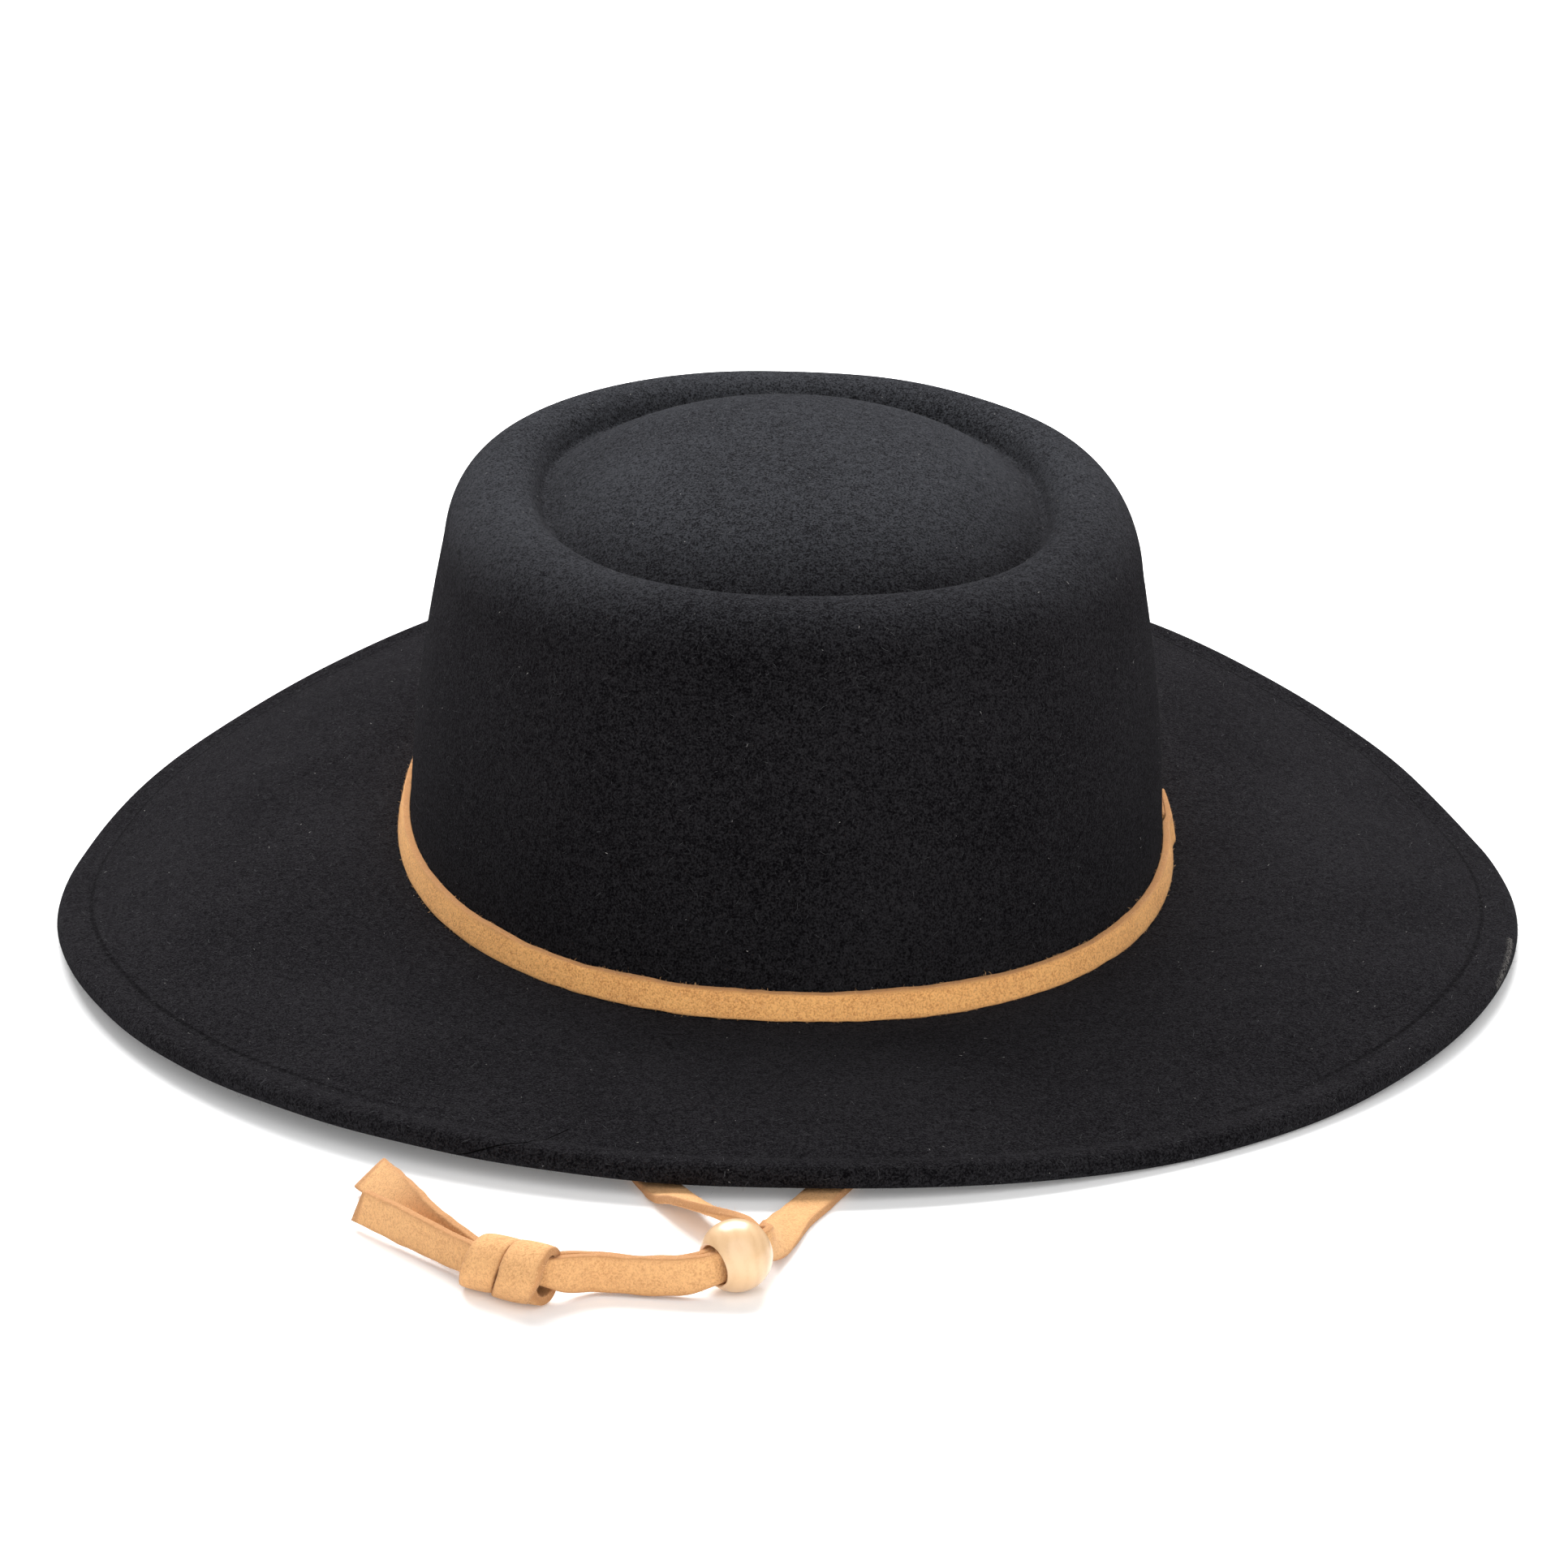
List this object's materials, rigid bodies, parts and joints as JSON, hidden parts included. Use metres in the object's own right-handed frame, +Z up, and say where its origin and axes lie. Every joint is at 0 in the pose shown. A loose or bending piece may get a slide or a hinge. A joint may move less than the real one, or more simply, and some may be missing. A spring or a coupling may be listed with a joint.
{
  "type": "wide-brim felt hat",
  "caption": "Wide-brim felt hat: rounded crown with a grooved, domed top, a flat suede band, and a chin lace with a round bead and a knot.",
  "frame": {"origin": "on the surface the hat rests on, under the middle of the brim's length and width", "axes": "+Z up; +Y from the front of the hat to the back, along its length; +X to the wearer's left"},
  "size_m": [0.333, 0.4379, 0.1136],
  "materials": {
    "felt": "matte",
    "suede": "matte",
    "bead_wood": "satin"
  },
  "bodies": {
    "root": {"felt_body": "felt", "hat_band": "suede", "chin_lace_left": "suede", "chin_lace_right": "suede", "slide_bead": "bead_wood", "lace_knot": "suede", "lace_tail_front": "suede", "lace_tail_back": "suede"}
  },
  "joints": []
}
